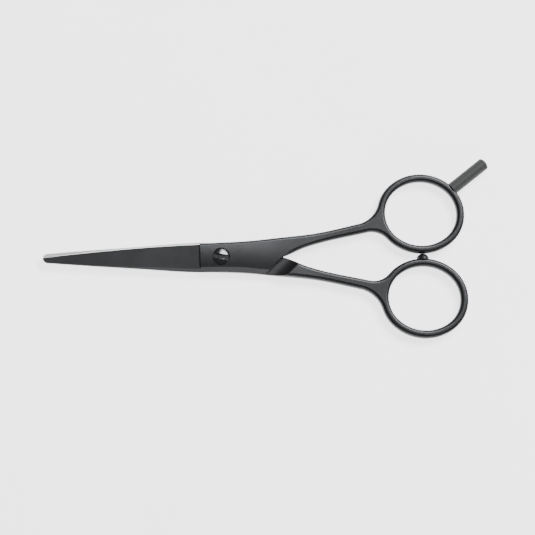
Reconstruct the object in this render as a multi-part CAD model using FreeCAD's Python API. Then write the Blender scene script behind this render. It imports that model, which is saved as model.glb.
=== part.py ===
import FreeCAD, Part
import math
import os

os.makedirs("parts", exist_ok=True)

# Hair cutting shears, closed. Millimetres. The pivot axis is the Z axis, the tips point along -X and the
# finger rings along +X. Both halves have one shape: the back half is the front half turned half a turn
# about X in the plane where the halves meet. z = 0 is the flat end of the lock nut, the lowest face.

# ---- driving sizes ----
BLADE_REACH = 57.95         # pivot axis to tip
HANDLE_REACH = 67.2         # pivot axis to the centre of a finger ring
RING_GAP = 1.7              # between the two rings, which the bumper fills
RING_INNER_LONG = 12.0      # half length of the finger hole
RING_INNER_SHORT = 10.7     # half width of the finger hole
RING_NOSE = 10.0            # radius of the hole's two ends
RING_BAND = 2.6             # width of the metal round the hole
RING_TILT = 2.0             # degrees that the ring's long way leans outward
RING_THICKNESS = 2.9
SHANK_WIDTH = 3.2
NECK_OUTER_RADIUS = 9.5     # where the shank's outer line runs into the ring
NECK_INNER_RADIUS = 7.0     # and its inner line

BOSS_HALF_WIDTH = 4.85      # at the pivot
BOSS_HEIGHT = 2.15          # each half, at its crown
CROWN_RADIUS = 34.0
CROWN_Y = 0.6               # where the crown is highest
CROWN_END_X = 8.0           # from here the top eases down to the ring's height
SHANK_LEVEL_X = 38.0        # and is level from here on
STEP_X = -6.85              # where the ground blade face starts
STEP_RADIUS = 0.25
CROTCH_Y = 0.1              # where the shank's inner line leaves the boss's slanted end
BLADE_HEIGHT_AT_STEP = 1.45
BLADE_HEIGHT_AT_TIP = 0.75
BEVEL_WIDTH = 0.45          # polished bevel along the cutting edge
SPINE_CHAMFER = 1.25
EDGE_ROUND = 1.05           # rounding of shank and ring
CORNER_CHAMFER = 0.25
RIDE_GAP = 0.04             # between the two halves
HOLLOW_RADIUS = 67.0        # hollow ground inner face
HOLLOW_DEPTH = 0.12
HOLLOW_START_X = -9.0
HOLLOW_Y = -0.2             # its deepest line
END_ANGLE = 42.0            # degrees from X of the slanted end of the boss
END_DISTANCE = 13.9         # pivot axis to that end
END_GAP = 0.4               # from that end to the other half's shank
SCOOP_RADIUS = 7.0          # hollow that the other half's shank rises in
WELD_X = 11.5               # where blade steel and handle steel are joined

SCREW_RADIUS = 1.5
HEAD_RADIUS = 2.6
HEAD_RIM = 0.35             # height of the head's side
HEAD_DOME = 0.55
HEAD_EDGE = 0.08            # rounding of the rim and the slot's lips
HEAD_SEAT = 1.25            # height of the washer seat above the meeting plane
HEAD_CLEARANCE = 0.25
SLOT_WIDTH = 1.4
SLOT_ANGLE = -8.0           # degrees from X, shears closed
SLOT_DEPTH = 0.65
WASHER_THICKNESS = 0.2
BUSH_WALL = 0.55
FIT_GAP = 0.01              # pieces pressed or clamped together
RUNNING = 0.03              # radial clearance of a turning fit
NUT_RADIUS = 2.7
NUT_HEIGHT = 1.35
NUT_PROUD = 0.3
NUT_WALL = 0.45             # closed end of the nut
NUT_FLAT = 2.2              # pivot axis to the flats that stop it turning
NUT_CLEARANCE = 0.08
NUT_CHAMFER = 0.15
SPRING_THICKNESS = 0.2
SPRING_CONE = 0.15

BUMPER_RADIUS = 2.0
BUMPER_GAP = 0.04           # to the other ring
BUMPER_DOME = 1.2
BUMPER_SADDLE = 0.35        # how far its base laps down round the ring
BUMPER_WALL = 0.7           # rubber over the end of its stud
STUD_RADIUS = 0.8
STUD_DEPTH = 1.5
REST_RADIUS = 2.05
REST_LENGTH = 14.4          # from the ring's outer wall
REST_ANGLE = 37.5           # degrees from X, about the ring's centre
REST_DOME = 0.85
REST_EDGE = 0.2
REST_SADDLE = 0.6           # how far its base laps down round the ring

# ---- derived sizes ----
MEET_Z = BOSS_HEIGHT + NUT_PROUD
RING_OUTER_LONG = RING_INNER_LONG + RING_BAND
RING_OUTER_SHORT = RING_INNER_SHORT + RING_BAND
RING_OFFSET = RING_OUTER_SHORT + RING_GAP / 2
RING_CENTRE = FreeCAD.Vector(HANDLE_REACH, RING_OFFSET, 0)
NUT_LOW = -MEET_Z           # the nut's flat end, from the meeting plane
RECESS_FLOOR = NUT_LOW + NUT_HEIGHT + SPRING_THICKNESS + SPRING_CONE
BUSH_RADIUS = SCREW_RADIUS + RUNNING + BUSH_WALL
UP = FreeCAD.Vector(0, 0, 1)
REACH = 200.0               # longer than anything in the model
OVERLAP = 1.0               # how far a cutting shape stands past what it cuts
NEAR = 0.05                 # an edge this close to a place counts as on it


def vec(x, y, z=0.0):
    return FreeCAD.Vector(x, y, z)


def curve(points):
    spline = Part.BSplineCurve()
    spline.interpolate([vec(x, y) for x, y in points])
    return spline.toShape()


def line(start, end):
    return Part.LineSegment(vec(*start), vec(*end)).toShape()


def swung(shape, angle):
    """The shape turned about the pivot axis."""
    turned = shape.copy()
    turned.rotate(vec(0, 0), UP, angle)
    return turned


def cylinder(radius, low, high):
    return Part.makeCylinder(radius, high - low, vec(0, 0, low))


def turned_profile(points):
    """Solid of revolution about Z from (radius, height) points."""
    outline = [vec(radius, 0, height) for radius, height in points]
    return Part.Face(Part.makePolygon(outline + outline[:1])).revolve(vec(0, 0), UP, 360)


# ---- plan of one half ----
def oval(grow):
    """Finger hole outline of four arcs, widened by grow all round."""
    flat_radius = RING_INNER_LONG ** 2 + RING_INNER_SHORT ** 2 - 2 * RING_INNER_LONG * RING_NOSE
    flat_radius = flat_radius / (2 * (RING_INNER_SHORT - RING_NOSE))
    nose_centre = RING_INNER_LONG - RING_NOSE
    lean = math.atan2(flat_radius - RING_INNER_SHORT, nose_centre)
    nose = RING_NOSE + grow
    right = nose_centre + nose * math.cos(lean)
    top = nose * math.sin(lean)
    corners = [(right, top), (-right, top), (-right, -top), (right, -top)]
    side = RING_INNER_SHORT + grow
    end = nose_centre + nose
    middles = [(0, side), (-end, 0), (0, -side), (end, 0)]
    edges = []
    for index in range(4):
        following = corners[(index + 1) % 4]
        edges.append(Part.Arc(vec(*corners[index]), vec(*middles[index]), vec(*following)).toShape())
    wire = Part.Wire(edges)
    wire.rotate(vec(0, 0), UP, RING_TILT)
    wire.translate(RING_CENTRE)
    return wire


def end_point(y):
    """Where the slanted end of the boss is at y."""
    normal = math.radians(90 - END_ANGLE)
    return ((END_DISTANCE + y * math.sin(normal)) / math.cos(normal), y)


def blade_points(pairs):
    """(share of the blade's length from step to tip, y) to (x, y)."""
    return [(STEP_X - share * (BLADE_REACH + STEP_X), y) for share, y in pairs]


def shank_points(side):
    """The shank's outer (side 1) or inner (side -1) line, as shares of the way from crotch to ring centre."""
    crotch = end_point(CROTCH_Y)[0]
    reach = HANDLE_REACH - crotch
    points = []
    for along, out, flare in [(0.217, 0.411, 1.14), (0.45, 0.579, 1.04), (0.732, 0.79, 1)]:
        points.append((crotch + along * reach, out * RING_OFFSET + side * flare * SHANK_WIDTH / 2))
    return points


def edge_points():
    """The cutting edge's line in plan, tip first."""
    return blade_points([(1, 0.55), (0.64, 2.42), (0.322, 3.7), (0, BOSS_HALF_WIDTH - 0.33)])


def outer_points():
    """The outer line in plan: cutting edge, boss and shank, up to inside the ring."""
    boss = [(0, BOSS_HALF_WIDTH - 0.05), (9.5, BOSS_HALF_WIDTH + 0.44), (20, BOSS_HALF_WIDTH + 1.53)]
    return edge_points() + boss + shank_points(1)


def spine_points():
    """The spine's line in plan, from the boss's slanted end to the nose of the tip."""
    boss = [end_point(-BOSS_HALF_WIDTH - 0.95), (9.5, -BOSS_HALF_WIDTH - 0.45), (0, -BOSS_HALF_WIDTH - 0.05)]
    return boss + blade_points([(0, -BOSS_HALF_WIDTH - 0.08), (0.322, -3.95), (0.64, -2.85), (0.965, -1.6)])


def half_plan():
    """Blade, boss and shank, up to inside the ring."""
    outer = outer_points()
    spine = spine_points()
    crotch = end_point(CROTCH_Y)
    inner = [crotch, (crotch[0] + 2.0, 0.8), (crotch[0] + 4.7, 2.08)] + shank_points(-1)
    nose_middle = blade_points([(0.997, -0.75)])[0]
    nose = Part.Arc(vec(*spine[-1]), vec(*nose_middle), vec(*outer[0])).toShape()
    edges = [curve(outer), line(outer[-1], inner[-1]), curve(inner[::-1])]
    edges += [line(crotch, spine[0]), curve(spine), nose]
    return Part.Face(Part.Wire(edges))


# ---- one half, above the meeting plane at z = 0 ----
def crown_height(x, y):
    """The top's height: arched across blade and boss, easing into a flat top at ring height."""
    share = min(max((x - CROWN_END_X) / (SHANK_LEVEL_X - CROWN_END_X), 0), 1)
    share = share * share * (3 - 2 * share)
    height = BOSS_HEIGHT + share * (RING_THICKNESS / 2 - BOSS_HEIGHT)
    middle = CROWN_Y + share * RING_OFFSET / 2
    return height - (1 - share) * (y - middle) ** 2 / (2 * CROWN_RADIUS)


def under_crown():
    """Everything below the crowned top."""
    spacing = 4.0
    half_width = RING_OFFSET + RING_OUTER_SHORT + spacing
    left = -BLADE_REACH - spacing
    columns = math.ceil((HANDLE_REACH + RING_OUTER_LONG + spacing - left) / spacing)
    rows = 2 * math.ceil(half_width / spacing)
    grid = []
    for column in range(columns + 1):
        x = left + column * spacing
        line_up = []
        for row in range(rows + 1):
            y = (row - rows / 2) * spacing
            line_up.append(vec(x, y, crown_height(x, y)))
        grid.append(line_up)
    surface = Part.BSplineSurface()
    surface.interpolate(grid)
    return surface.toShape().extrude(UP * -REACH)


def neck_edges(whole, side):
    """The upright edges where the shank's outer (1) or inner (-1) line runs into the ring's outer wall."""
    start, end = shank_points(side)[-2:]
    found = []
    for edge in whole.Edges:
        place = edge.CenterOfMass
        upright = abs(edge.tangentAt(edge.FirstParameter).z) > 0.99
        beside_ring = HANDLE_REACH - RING_OUTER_LONG - SHANK_WIDTH < place.x < HANDLE_REACH
        line_y = start[1] + (place.x - start[0]) / (end[0] - start[0]) * (end[1] - start[1])
        if upright and beside_ring and abs(place.y - line_y) < SHANK_WIDTH / 4:
            found.append(edge)
    return found


def blank():
    """Blade, shank and ring at full thickness, with the neck's corners rounded."""
    deep = 2 * (BOSS_HEIGHT + OVERLAP)
    outlines = [half_plan(), Part.Face(oval(RING_BAND)), Part.Face(oval(0))]
    plate, disc, hole = [outline.extrude(UP * deep) for outline in outlines]
    whole = plate.fuse(disc).cut(hole).removeSplitter()
    whole.translate(UP * (-deep / 2))
    whole = whole.makeFillet(NECK_OUTER_RADIUS, neck_edges(whole, 1))
    whole = whole.makeFillet(NECK_INNER_RADIUS, neck_edges(whole, -1))
    top = under_crown()
    bottom = top.mirror(vec(0, 0), UP)
    return whole.common(top).common(bottom)


def under_cut():
    """The other half's room: below the meeting plane, up to the scoop in which the shank comes down."""
    level = RIDE_GAP / 2
    start = END_DISTANCE + END_GAP
    depth = 1.3 * BOSS_HEIGHT
    run = math.sqrt(SCOOP_RADIUS ** 2 - (SCOOP_RADIUS - depth) ** 2)
    half_depth = SCOOP_RADIUS - math.sqrt(SCOOP_RADIUS ** 2 - (run / 2) ** 2)
    middle = vec(start + run / 2, 0, level - half_depth)
    foot = vec(start + run, 0, level - depth)
    scoop = Part.Arc(vec(start, 0, level), middle, foot).toShape()
    walls = [vec(start + run, 0, level - depth), vec(start + run, 0, -REACH), vec(-REACH, 0, -REACH)]
    walls += [vec(-REACH, 0, level), vec(start, 0, level)]
    face = Part.Face(Part.Wire([scoop] + Part.makePolygon(walls).Edges))
    tool = face.extrude(vec(0, 2 * REACH, 0))
    tool.translate(vec(0, -REACH, 0))
    return swung(tool, 90 - END_ANGLE)


def face_height(x):
    """Height of the blade's ground outer face, which falls evenly from the step to the tip."""
    share = (STEP_X - x) / (BLADE_REACH + STEP_X)
    return BLADE_HEIGHT_AT_STEP + share * (BLADE_HEIGHT_AT_TIP - BLADE_HEIGHT_AT_STEP)


def face_cut():
    """What is ground off the blade's outer face, with a small radius at the step."""
    top = BOSS_HEIGHT + OVERLAP
    bend_in = STEP_RADIUS * (1 - math.sqrt(0.5))
    foot = vec(STEP_X - STEP_RADIUS, 0, BLADE_HEIGHT_AT_STEP)
    bend = vec(STEP_X - bend_in, 0, BLADE_HEIGHT_AT_STEP + bend_in)
    head = vec(STEP_X, 0, BLADE_HEIGHT_AT_STEP + STEP_RADIUS)
    far = -BLADE_REACH - OVERLAP
    walls = [head, vec(STEP_X, 0, top), vec(far, 0, top), vec(far, 0, face_height(far)), foot]
    face = Part.Face(Part.Wire([Part.Arc(foot, bend, head).toShape()] + Part.makePolygon(walls).Edges))
    tool = face.extrude(vec(0, 2 * REACH, 0))
    tool.translate(vec(0, -REACH, 0))
    return tool


def bevel_cut():
    """What is ground off along the cutting edge, from the step to past the tip."""
    outline = curve(outer_points())
    last = outline.Curve.parameter(vec(*edge_points()[-1]))
    count = 8
    places = [outline.valueAt(last * index / count) for index in range(count + 1)]
    ahead = places[0] * 2 - places[1]
    behind = places[-1] * 2 - places[-2]
    sections = []
    for place in [ahead] + places + [behind]:
        low = vec(place.x, place.y - FIT_GAP, 0)
        run = vec(0, -BEVEL_WIDTH, face_height(place.x))
        below = low - run
        above = low + run * 2
        corners = [below, above, above + vec(0, 2 * BOSS_HALF_WIDTH), below + vec(0, 2 * BEVEL_WIDTH), below]
        sections.append(Part.makePolygon(corners))
    room = Part.makeBox(2 * REACH, 4 * REACH, 4 * REACH, vec(STEP_X - 2 * REACH, -2 * REACH, -2 * REACH))
    return Part.makeLoft(sections, True, False).common(room)


def hollow_cut():
    """Shallow cylinder that hollows the blade's inner face, running out at the tip."""
    length = BLADE_REACH + HOLLOW_START_X
    fall = math.degrees(math.atan2(HOLLOW_DEPTH, length))
    tool = Part.makeCylinder(HOLLOW_RADIUS, length, vec(0, 0, 0), vec(-1, 0, 0))
    tool.rotate(vec(0, 0), vec(0, 1, 0), -fall)
    level = RIDE_GAP / 2 + HOLLOW_DEPTH - HOLLOW_RADIUS
    tool.translate(vec(HOLLOW_START_X, HOLLOW_Y, level))
    return tool


def spine_cut():
    """The chamfer along the spine, from the boss's slanted end to the tip."""
    points = spine_points()
    behind = (points[0][0] + 3 * OVERLAP, points[0][1])
    ahead = (-BLADE_REACH - 3 * OVERLAP, points[-1][1])
    sections = []
    for x, y in [behind] + points + [ahead]:
        height = crown_height(x, y)
        low = vec(x, y - OVERLAP, height - SPINE_CHAMFER - OVERLAP)
        high = vec(x, y + SPINE_CHAMFER + OVERLAP, height + OVERLAP)
        sections.append(Part.makePolygon([low, high, vec(x, y - OVERLAP, height + OVERLAP), low]))
    return Part.makeLoft(sections, True, False)


def end_cut():
    """The small chamfer along the top of the boss's slanted end, which sinks a little to its outer side."""
    sections = []
    for y in (-2 * BOSS_HALF_WIDTH, -BOSS_HALF_WIDTH / 2, CROTCH_Y):
        x = end_point(y)[0]
        height = crown_height(x, y)
        outward = vec(1, -1, 0).normalize()
        edge = vec(x, y, height)
        low = edge + outward - UP * (CORNER_CHAMFER + OVERLAP)
        high = edge - outward * (CORNER_CHAMFER + OVERLAP) + UP
        sections.append(Part.makePolygon([low, high, edge + outward + UP, low]))
    return Part.makeLoft(sections, True, False)


def along_normal(point):
    """Distance from the pivot axis towards this half's slanted end."""
    normal = math.radians(90 - END_ANGLE)
    return point.x * math.cos(normal) - point.y * math.sin(normal)


def rounded(whole):
    """Rounds the top and bottom outline of shank and ring, and the boss's outer edge."""
    outline = []
    for edge in whole.Edges:
        middle_value = (edge.FirstParameter + edge.LastParameter) / 2
        middle = edge.valueAt(middle_value)
        level = abs(edge.tangentAt(middle_value).z) < 0.5
        on_top = abs(abs(middle.z) - crown_height(middle.x, middle.y)) < NEAR / 5
        on_spine = middle.y < 0 and middle.x < end_point(0)[0]
        behind_step = middle.x > STEP_X + NEAR
        on_end = abs(along_normal(middle) - END_DISTANCE) < NEAR
        if level and on_top and behind_step and not on_spine and not on_end:
            outline.append(edge)
    return whole.makeFillet(EDGE_ROUND, outline)


def half():
    """Blade, boss, shank and ring of the front half in one piece, without its pivot."""
    whole = blank().Solids[0]
    for tool in (under_cut(), bevel_cut(), face_cut()):
        whole = whole.cut(tool)
    whole = rounded(whole.Solids[0])
    for tool in (spine_cut(), end_cut(), hollow_cut()):
        whole = whole.cut(tool)
    return whole.Solids[0]


def one_side(whole, side):
    """What lies on the blade's side (-1) or the handle's side (1) of the weld."""
    room = Part.makeBox(REACH, 2 * REACH, 2 * REACH, vec(WELD_X, -REACH, -REACH))
    if side < 0:
        room.translate(vec(-REACH, 0, 0))
    return whole.common(room).Solids[0]


# ---- pivot ----
def broken_edges(solid, radius, above):
    """Rounds the edges that lie wholly above a height."""
    chosen = [edge for edge in solid.Edges if edge.BoundBox.ZMin > above]
    return solid.makeFillet(radius, chosen)


def head_recess():
    return cylinder(HEAD_RADIUS + HEAD_CLEARANCE, HEAD_SEAT, BOSS_HEIGHT + OVERLAP)


def head_washer():
    ring = cylinder(HEAD_RADIUS, HEAD_SEAT, HEAD_SEAT + WASHER_THICKNESS)
    return ring.cut(cylinder(SCREW_RADIUS + 2 * RUNNING, HEAD_SEAT - 1, HEAD_SEAT + 1))


def pivot_bush():
    low = RIDE_GAP / 2
    high = HEAD_SEAT - FIT_GAP
    return cylinder(BUSH_RADIUS, low, high).cut(cylinder(SCREW_RADIUS + RUNNING, low - 1, high + 1))


def pivot_screw():
    """Slotted head with a low dome, and a plain shaft that ends in the nut."""
    seat = HEAD_SEAT + WASHER_THICKNESS + FIT_GAP
    rim = seat + HEAD_RIM
    dome_radius = (HEAD_RADIUS ** 2 + HEAD_DOME ** 2) / (2 * HEAD_DOME)
    ball = Part.makeSphere(dome_radius, vec(0, 0, rim + HEAD_DOME - dome_radius))
    head = cylinder(HEAD_RADIUS, seat, rim + HEAD_DOME).common(ball)
    slot = Part.makeBox(4 * HEAD_RADIUS, SLOT_WIDTH, 2 * SLOT_DEPTH)
    slot.translate(vec(-2 * HEAD_RADIUS, -SLOT_WIDTH / 2, rim + HEAD_DOME - SLOT_DEPTH))
    head = head.cut(swung(slot, SLOT_ANGLE))
    head = broken_edges(head, HEAD_EDGE, rim - FIT_GAP)
    shaft = cylinder(SCREW_RADIUS, NUT_LOW + NUT_WALL + RUNNING, seat)
    return head.fuse(shaft).removeSplitter()


def nut_outline(grow):
    """Round with two flats, from the nut's flat end up to the recess floor."""
    side = 2 * (NUT_FLAT + grow)
    flats = Part.makeBox(side, 4 * NUT_RADIUS, 20, vec(-side / 2, -2 * NUT_RADIUS, -20))
    flats.translate(vec(0, 0, RECESS_FLOOR))
    return cylinder(NUT_RADIUS + grow, RECESS_FLOOR - 20, RECESS_FLOOR).common(flats)


def lock_nut():
    body = nut_outline(0).common(cylinder(2 * NUT_RADIUS, NUT_LOW, NUT_LOW + NUT_HEIGHT))
    low_edges = [edge for edge in body.Edges if edge.BoundBox.ZMax < NUT_LOW + NUT_PROUD]
    body = body.makeChamfer(NUT_CHAMFER, low_edges)
    return body.cut(cylinder(SCREW_RADIUS + RUNNING, NUT_LOW + NUT_WALL, 0))


def spring_washer():
    """Conical disc between the nut and the recess floor."""
    inner = SCREW_RADIUS + 4 * RUNNING
    outer = NUT_FLAT
    low = NUT_LOW + NUT_HEIGHT
    rise = SPRING_CONE
    points = [(inner, low + rise), (outer, low), (outer, low + SPRING_THICKNESS)]
    return turned_profile(points + [(inner, low + rise + SPRING_THICKNESS)])


# ---- pieces on the rings ----
def ring_top():
    """Height of the back half's ring towards the other ring, below the long axis."""
    return oval(RING_BAND).BoundBox.YMin


def across(shape):
    """A shape built up Z at the origin, laid to point along +Y at the bumper's place."""
    laid = shape.copy()
    laid.rotate(vec(0, 0), vec(1, 0, 0), -90)
    laid.translate(vec(HANDLE_REACH, 0, 0))
    return laid


def bumper(ring):
    """Rubber button that keeps the rings apart, lapping a little round the back half's ring."""
    base = -ring_top()
    top = ring_top() - BUMPER_GAP
    ball_radius = (BUMPER_RADIUS ** 2 + BUMPER_DOME ** 2) / (2 * BUMPER_DOME)
    low = base - BUMPER_SADDLE
    ball = Part.makeSphere(ball_radius, vec(0, 0, top - ball_radius))
    cap = cylinder(BUMPER_RADIUS, low, top).common(ball)
    post = cylinder(BUMPER_RADIUS, low, top - BUMPER_DOME).fuse(cap).removeSplitter()
    post = post.cut(cylinder(STUD_RADIUS, low - OVERLAP, top - BUMPER_WALL))
    return across(post).cut(ring)


def bumper_stud():
    return across(cylinder(STUD_RADIUS, -ring_top() - STUD_DEPTH, ring_top() - BUMPER_GAP - BUMPER_WALL))


def rest_place(shape):
    """A shape built up Z from the origin, laid to point outward from the front half's ring."""
    laid = shape.copy()
    laid.rotate(vec(0, 0), vec(0, 1, 0), 90)
    laid.rotate(vec(0, 0), UP, REST_ANGLE)
    laid.translate(RING_CENTRE)
    return laid


def rest_start():
    """Distance from the ring's centre to its outer wall, in the finger rest's direction."""
    ray = rest_place(Part.makeLine(vec(0, 0, 1), vec(0, 0, 50)))
    return oval(RING_BAND).distToShape(ray)[1][0][0].distanceToPoint(RING_CENTRE)


def finger_rest(ring):
    """Rod with a domed end, lapping a little round the ring that its stud screws into."""
    wall = rest_start()
    end = wall + REST_LENGTH
    ball_radius = (REST_RADIUS ** 2 + REST_DOME ** 2) / (2 * REST_DOME)
    ball = Part.makeSphere(ball_radius, vec(0, 0, end - ball_radius))
    rod = cylinder(REST_RADIUS, wall - REST_SADDLE, end - REST_DOME)
    tip = cylinder(REST_RADIUS, end - REST_DOME, end).common(ball)
    whole = rod.fuse(tip).removeSplitter()
    bounds = [(edge, edge.BoundBox) for edge in whole.Edges]
    rims = [edge for edge, box in bounds if box.ZMin > end - 2 * REST_DOME and box.XLength > REST_RADIUS]
    whole = rest_place(whole.makeFillet(REST_EDGE, rims)).cut(ring)
    stud = rest_place(cylinder(STUD_RADIUS, wall - STUD_DEPTH + FIT_GAP, wall + 1))
    return whole.fuse(stud).removeSplitter()


# ---- the shears ----
def as_back(shape):
    """A front piece turned half a turn about X, into the back half's place."""
    turned = shape.copy()
    turned.rotate(vec(0, 0), vec(1, 0, 0), 180)
    return turned


def shears():
    whole = half()
    bush_hole = cylinder(BUSH_RADIUS + FIT_GAP, -1, BOSS_HEIGHT)
    blade = one_side(whole, -1)
    handle = one_side(whole, 1)
    front_blade = blade.cut(head_recess()).cut(bush_hole)
    back_blade = as_back(blade).cut(cylinder(SCREW_RADIUS + RUNNING, -BOSS_HEIGHT, 1))
    back_blade = back_blade.cut(nut_outline(NUT_CLEARANCE))
    wall = rest_start()
    rest_hole = rest_place(cylinder(STUD_RADIUS + RUNNING, wall - STUD_DEPTH, wall + 5))
    back_handle = as_back(handle)
    return {
        "front_blade": front_blade,
        "front_handle": handle.cut(rest_hole),
        "back_blade": back_blade,
        "back_handle": back_handle.cut(bumper_stud()),
        "pivot_screw": pivot_screw(),
        "head_washer": head_washer(),
        "pivot_bush": pivot_bush(),
        "spring_washer": spring_washer(),
        "lock_nut": lock_nut(),
        "bumper": bumper(back_handle),
        "bumper_stud": bumper_stud(),
        "finger_rest": finger_rest(handle),
    }


for name, shape in shears().items():
    shape.translate(vec(0, 0, MEET_Z))
    solid = shape.Solids[0]
    print(name, len(shape.Solids), shape.isValid(), round(shape.Volume, 3))
    solid.exportStep("parts/" + name + ".step")
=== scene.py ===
import math

import bpy
from mathutils import Matrix, Vector


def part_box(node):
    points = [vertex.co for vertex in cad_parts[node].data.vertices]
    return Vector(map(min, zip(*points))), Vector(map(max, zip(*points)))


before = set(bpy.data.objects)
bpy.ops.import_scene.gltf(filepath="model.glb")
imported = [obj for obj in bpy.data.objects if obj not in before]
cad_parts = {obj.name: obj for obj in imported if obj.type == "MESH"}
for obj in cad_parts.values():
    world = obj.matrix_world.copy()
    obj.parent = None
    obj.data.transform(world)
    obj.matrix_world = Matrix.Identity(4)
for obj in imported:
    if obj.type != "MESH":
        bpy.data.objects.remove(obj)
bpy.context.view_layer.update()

# Hair cutting shears: black coated steel with bare ground inner faces and bevels, on a lit opal table.
# Every piece keeps its CAD mesh. This script gives each its finish and sets up table, lights and camera.

# ---- sizes and places, in metres ----
MM = 0.001
STEP_X = -6.85 * MM         # where the ground face of the blades starts, measured from the pivot axis
MEET_Z = (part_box("front_blade")[0].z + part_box("back_blade")[1].z) / 2    # where the two halves meet
RIDE_DEPTH = 0.3 * MM       # the inner faces, hollow included, lie this close to MEET_Z
BEVEL_LEAN = 0.4            # a face on the blade's edge side that leans out at least this much is bevel
RIDE_LEAN = 0.9             # an inner face is this close to facing straight at the other half
PIVOT_TOP = Vector((0, 0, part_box("pivot_screw")[1].z))

TABLE_SIZE = 8.0
TABLE_GLOW = 2.7
LIGHT_DISTANCE = 1.6        # from the pivot to each soft box

CAMERA_TILT = 14.5          # degrees from straight above
CAMERA_COMPASS = -130.0     # degrees from +X, the way the camera leans
CAMERA_ROLL = 0.4           # degrees
LENS = 250.0                # millimetres, as is the sensor
SENSOR = 36.0
FRAME_WIDTH = 173.9 * MM    # what the picture spans at the screw's top
AIM_RIGHT = 15.0 * MM       # from the screw to the middle of the picture
AIM_DOWN = 3.7 * MM


# ---- shader nodes ----
def linear(hex_colour):
    """sRGB hex text to the linear colour that shaders take."""
    channels = []
    for start in (0, 2, 4):
        value = int(hex_colour[start:start + 2], 16) / 255
        channels.append(value / 12.92 if value <= 0.04045 else ((value + 0.055) / 1.055) ** 2.4)
    return (*channels, 1.0)


def add(material, kind, settings=None, **links):
    """Adds a shader node. Settings are its properties or its sockets' values. Links are socket=output, with
    i0, i1 and so on for a socket's number and _ for a space in its name."""
    node = material.node_tree.nodes.new(kind)
    for name, value in (settings or {}).items():
        if isinstance(name, str) and hasattr(node, name):
            setattr(node, name, value)
        else:
            node.inputs[name].default_value = value
    for name, output in links.items():
        numbered = name[0] == "i" and name[1:].isdigit()
        socket = int(name[1:]) if numbered else name.replace("_", " ")
        material.node_tree.links.new(node.inputs[socket], output)
    return node


def new_material(name):
    material = bpy.data.materials.new(name)
    material.use_nodes = True
    material.node_tree.nodes.clear()
    return material


def grit(material, spacing_mm, detail, along_y=1):
    """Noise with features spacing_mm across, drawn out along Y where along_y is over 1."""
    rate = 1 / (spacing_mm * MM)
    place = add(material, "ShaderNodeTexCoord")
    scaled = add(material, "ShaderNodeMapping", {"Scale": (rate, rate / along_y, rate)},
                 Vector=place.outputs["Object"])
    noise = add(material, "ShaderNodeTexNoise", {"Scale": 1.0, "Detail": detail}, Vector=scaled.outputs[0])
    return noise.outputs[0]


def surface(material, pattern, look):
    """A shader whose colour, roughness and skin follow one pattern. Look gives its two colours, its lowest and
    highest roughness, its relief in millimetres with a strength, and the values of its other sockets."""
    dark, light = look["colours"]
    low, high = look["roughness"]
    strength, relief_mm = look["relief"]
    shades = {"data_type": "RGBA", 6: linear(dark), 7: linear(light)}
    colour = add(material, "ShaderNodeMix", shades, i0=pattern)
    rough = add(material, "ShaderNodeMapRange", {"To Min": low, "To Max": high}, Value=pattern)
    skin = add(material, "ShaderNodeBump", {"Strength": strength, "Distance": relief_mm * MM}, Height=pattern)
    return add(material, "ShaderNodeBsdfPrincipled", look["sockets"], Base_Color=colour.outputs[2],
               Roughness=rough.outputs[0], Normal=skin.outputs[0])


def finished(material, shader):
    add(material, "ShaderNodeOutputMaterial", Surface=shader.outputs[0])
    return material


def plain(name, spacing_mm, detail, look):
    """A material of one finish all over."""
    material = new_material(name)
    return finished(material, surface(material, grit(material, spacing_mm, detail), look))


# ---- finishes of the two halves ----
def coated_shader(material):
    """Stainless steel, ground across its length and then coated black in a vacuum: a satin dark metal. The
    coating is thinner than the grinding lines, so they show through as faint streaks, and a slow cloudiness
    comes from the grinding belt's pressure. The lines are drawn 0.22 mm apart, coarser than real ones."""
    cloud = grit(material, 9.0, 3.0)
    lines = grit(material, 0.22, 2.0, along_y=14)
    fine = grit(material, 0.09, 1.0)
    shades = {"data_type": "RGBA", 6: linear("303132"), 7: linear("3b3c3e")}
    colour = add(material, "ShaderNodeMix", shades, i0=cloud)
    mixed = add(material, "ShaderNodeMath", {"operation": "ADD"}, i0=cloud, i1=lines)
    rough = add(material, "ShaderNodeMapRange", {"To Min": 0.22, "To Max": 0.36}, Value=mixed.outputs[0])
    streaks = add(material, "ShaderNodeBump", {"Strength": 0.12, "Distance": 0.004 * MM}, Height=lines)
    grain = add(material, "ShaderNodeBump", {"Strength": 0.15, "Distance": 0.004 * MM}, Height=fine,
                Normal=streaks.outputs[0])
    return add(material, "ShaderNodeBsdfPrincipled", {"Metallic": 0.85}, Base_Color=colour.outputs[2],
               Roughness=rough.outputs[0], Normal=grain.outputs[0])


def ground_shader(material):
    """Bare stainless blade steel, ground with a fine wheel: bright and a little streaky along the wheel's
    path, which runs across the blade. The lines are drawn 0.12 mm apart, coarser than real ones."""
    look = {"colours": ("c9cac9", "e4e4e2"), "roughness": (0.26, 0.4), "relief": (0.1, 0.003),
            "sockets": {"Metallic": 1.0}}
    return surface(material, grit(material, 0.12, 3.0, along_y=25), look)


def coated_steel():
    material = new_material("black_coated_steel")
    return finished(material, coated_shader(material))


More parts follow.
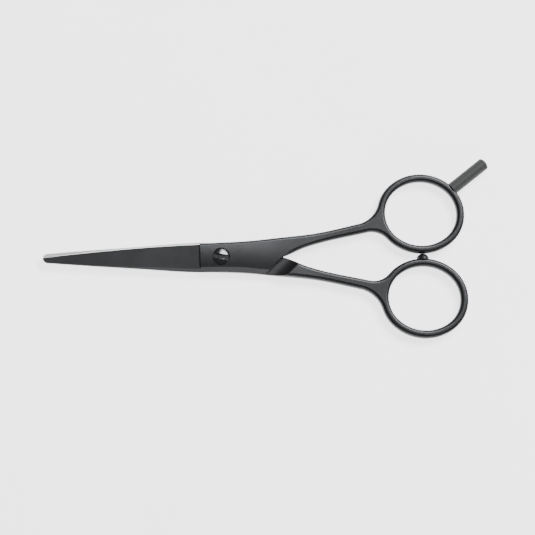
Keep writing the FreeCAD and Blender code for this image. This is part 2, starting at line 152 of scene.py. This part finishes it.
def blade_steel(name, side):
    """Coated steel that is bare on the inner face and on the bevel, which are ground after coating. Side is 1
    for the front blade and -1 for the back blade, which is the same blade turned over."""
    material = new_material(name)
    geometry = add(material, "ShaderNodeNewGeometry")
    turn = {"vector_type": "NORMAL", "convert_from": "WORLD", "convert_to": "OBJECT"}
    normal = add(material, "ShaderNodeVectorTransform", turn, Vector=geometry.outputs["True Normal"])
    facing = add(material, "ShaderNodeSeparateXYZ", Vector=normal.outputs[0])
    texture = add(material, "ShaderNodeTexCoord")
    place = add(material, "ShaderNodeSeparateXYZ", Vector=texture.outputs["Object"])

    outward = add(material, "ShaderNodeMath", {"operation": "MULTIPLY", 1: side}, i0=facing.outputs[1])
    leans = add(material, "ShaderNodeMath", {"operation": "GREATER_THAN", 1: BEVEL_LEAN}, i0=outward.outputs[0])
    before_step = add(material, "ShaderNodeMath", {"operation": "LESS_THAN", 1: STEP_X}, i0=place.outputs[0])
    bevel = add(material, "ShaderNodeMath", {"operation": "MULTIPLY"}, i0=leans.outputs[0],
                i1=before_step.outputs[0])

    inward = add(material, "ShaderNodeMath", {"operation": "MULTIPLY", 1: -side}, i0=facing.outputs[2])
    inner = add(material, "ShaderNodeMath", {"operation": "GREATER_THAN", 1: RIDE_LEAN}, i0=inward.outputs[0])
    depth = add(material, "ShaderNodeMath", {"operation": "SUBTRACT", 1: MEET_Z}, i0=place.outputs[2])
    near = add(material, "ShaderNodeMath", {"operation": "COMPARE", 1: 0.0, 2: RIDE_DEPTH}, i0=depth.outputs[0])
    ride = add(material, "ShaderNodeMath", {"operation": "MULTIPLY"}, i0=inner.outputs[0], i1=near.outputs[0])

    bare = add(material, "ShaderNodeMath", {"operation": "MAXIMUM"}, i0=bevel.outputs[0], i1=ride.outputs[0])
    coated = coated_shader(material)
    ground = ground_shader(material)
    return finished(material, add(material, "ShaderNodeMixShader", i0=bare.outputs[0], i1=coated.outputs[0],
                                  i2=ground.outputs[0]))


def matt_powder_coat():
    """Black powder coating, sprayed and baked on the finger rest: even and matt, with a very fine grain."""
    look = {"colours": ("323334", "3a3b3c"), "roughness": (0.51, 0.69), "relief": (0.2, 0.006),
            "sockets": {"IOR": 1.45}}
    return plain("matt_black_powder_coat", 0.12, 4.0, look)


# ---- finishes of the pivot and the bumper ----
def blackened_screw_steel():
    """Turned and polished steel, chemically blackened: darker than bare steel, with a sharp highlight."""
    look = {"colours": ("545658", "636567"), "roughness": (0.16, 0.25), "relief": (0.1, 0.003),
            "sockets": {"Metallic": 1.0}}
    return plain("blackened_screw_steel", 0.3, 3.0, look)


def blackened_nut_steel():
    """The same blackening on turned steel that isn't polished, so its highlight is softer."""
    look = {"colours": ("464849", "565859"), "roughness": (0.2, 0.3125), "relief": (0.1, 0.003),
            "sockets": {"Metallic": 1.0}}
    return plain("blackened_nut_steel", 0.3, 3.0, look)


def spring_steel():
    """Pressed and tempered strip: grey, with a dull shine."""
    look = {"colours": ("8d8f90", "b3b4b4"), "roughness": (0.24, 0.375), "relief": (0.1, 0.003),
            "sockets": {"Metallic": 1.0}}
    return plain("tempered_spring_steel", 0.2, 3.0, look)


def turned_stainless():
    """Stainless rod turned to size: light grey with faint tool marks."""
    look = {"colours": ("a2a3a3", "c4c4c2"), "roughness": (0.24, 0.375), "relief": (0.1, 0.003),
            "sockets": {"Metallic": 1.0}}
    return plain("turned_stainless_steel", 0.15, 3.0, look)


def turned_brass():
    """Brass tube turned to size: yellow, with faint tool marks."""
    look = {"colours": ("a98742", "c9a75d"), "roughness": (0.224, 0.35), "relief": (0.1, 0.003),
            "sockets": {"Metallic": 1.0}}
    return plain("turned_brass", 0.15, 3.0, look)


def natural_ptfe():
    """PTFE punched from skived sheet: milky white and waxy, hardly glossy."""
    look = {"colours": ("d9d8d2", "e8e7e2"), "roughness": (0.425, 0.575), "relief": (0.2, 0.006),
            "sockets": {"IOR": 1.38}}
    return plain("natural_ptfe", 0.2, 4.0, look)


def moulded_rubber():
    """Black rubber from a polished mould: deep black with a soft sheen."""
    look = {"colours": ("0b0b0c", "151516"), "roughness": (0.323, 0.437), "relief": (0.2, 0.006),
            "sockets": {"IOR": 1.52}}
    return plain("moulded_black_rubber", 0.08, 4.0, look)


COATED = coated_steel()
FINISHES = {
    "front_blade": blade_steel("front_blade_steel", 1),
    "back_blade": blade_steel("back_blade_steel", -1),
    "front_handle": COATED,
    "back_handle": COATED,
    "finger_rest": matt_powder_coat(),
    "pivot_screw": blackened_screw_steel(),
    "lock_nut": blackened_nut_steel(),
    "spring_washer": spring_steel(),
    "bumper_stud": turned_stainless(),
    "pivot_bush": turned_brass(),
    "head_washer": natural_ptfe(),
    "bumper": moulded_rubber(),
}
for name, material in FINISHES.items():
    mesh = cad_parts[name].data
    mesh.materials.clear()
    mesh.materials.append(material)


# ---- table, lights and camera ----
def light_table():
    """Cast opal acrylic, lit from beneath: white and faintly mottled, with hardly a shadow on it."""
    material = new_material("lit_opal_acrylic")
    mottle = grit(material, 40.0, 2.0)
    shades = {"data_type": "RGBA", 6: linear("f2f2f2"), 7: linear("f8f8f8")}
    colour = add(material, "ShaderNodeMix", shades, i0=mottle)
    lit = {"Roughness": 0.7, "IOR": 1.49, "Emission Strength": TABLE_GLOW}
    finished(material, add(material, "ShaderNodeBsdfPrincipled", lit, Base_Color=colour.outputs[2],
                           Emission_Color=colour.outputs[2]))
    bpy.ops.mesh.primitive_plane_add(size=TABLE_SIZE, location=(0, 0, 0))
    table = bpy.context.object
    table.name = "light_table"
    table.data.materials.append(material)


def soft_box(name, direction, size, power):
    """A soft box in that direction from the pivot, facing it."""
    data = bpy.data.lights.new(name, "AREA")
    data.shape = "RECTANGLE"
    data.size, data.size_y = size
    data.energy = power
    lamp = bpy.data.objects.new(name, data)
    bpy.context.scene.collection.objects.link(lamp)
    away = Vector(direction).normalized()
    lamp.location = away * LIGHT_DISTANCE
    lamp.rotation_euler = away.to_track_quat("Z", "Y").to_euler()


def studio_walls(strength):
    """Even dim light from all round."""
    world = bpy.data.worlds.new("studio_walls")
    bpy.context.scene.world = world
    world.use_nodes = True
    background = world.node_tree.nodes["Background"]
    background.inputs["Color"].default_value = (1, 1, 1, 1)
    background.inputs["Strength"].default_value = strength


def camera():
    """Long lens, nearly overhead and leaning towards the tips, with the shears level in the frame."""
    tilt = math.radians(CAMERA_TILT)
    compass = math.radians(CAMERA_COMPASS)
    towards = Vector((math.cos(compass) * math.sin(tilt), math.sin(compass) * math.sin(tilt), math.cos(tilt)))
    level = Vector((1, 0, 0)) - towards * towards.x
    right = (Matrix.Rotation(-math.radians(CAMERA_ROLL), 3, towards) @ level).normalized()
    up = towards.cross(right)
    distance = FRAME_WIDTH * LENS / SENSOR
    aim = PIVOT_TOP + right * AIM_RIGHT - up * AIM_DOWN
    data = bpy.data.cameras.new("camera")
    data.lens = LENS
    data.sensor_width = SENSOR
    data.clip_end = 20
    view = bpy.data.objects.new("camera", data)
    bpy.context.scene.collection.objects.link(view)
    turn = Matrix((right, up, towards)).transposed()
    view.matrix_world = Matrix.Translation(aim + towards * distance) @ turn.to_4x4()
    bpy.context.scene.camera = view


light_table()
# The key is up and to the right of the reflection of the flat faces, so that a crowned face darkens downwards.
soft_box("key", (0.52, 0.64, 1.0), (1.0, 0.7), 37)
# Two low cards give the far and the near sides of the round shanks and rings an edge of light.
soft_box("back_card", (0.9, 1.0, 0.2), (1.2, 0.5), 2)
soft_box("low_card", (0.1, -1.0, 0.3), (2.4, 0.5), 12)
studio_walls(0.2)
camera()
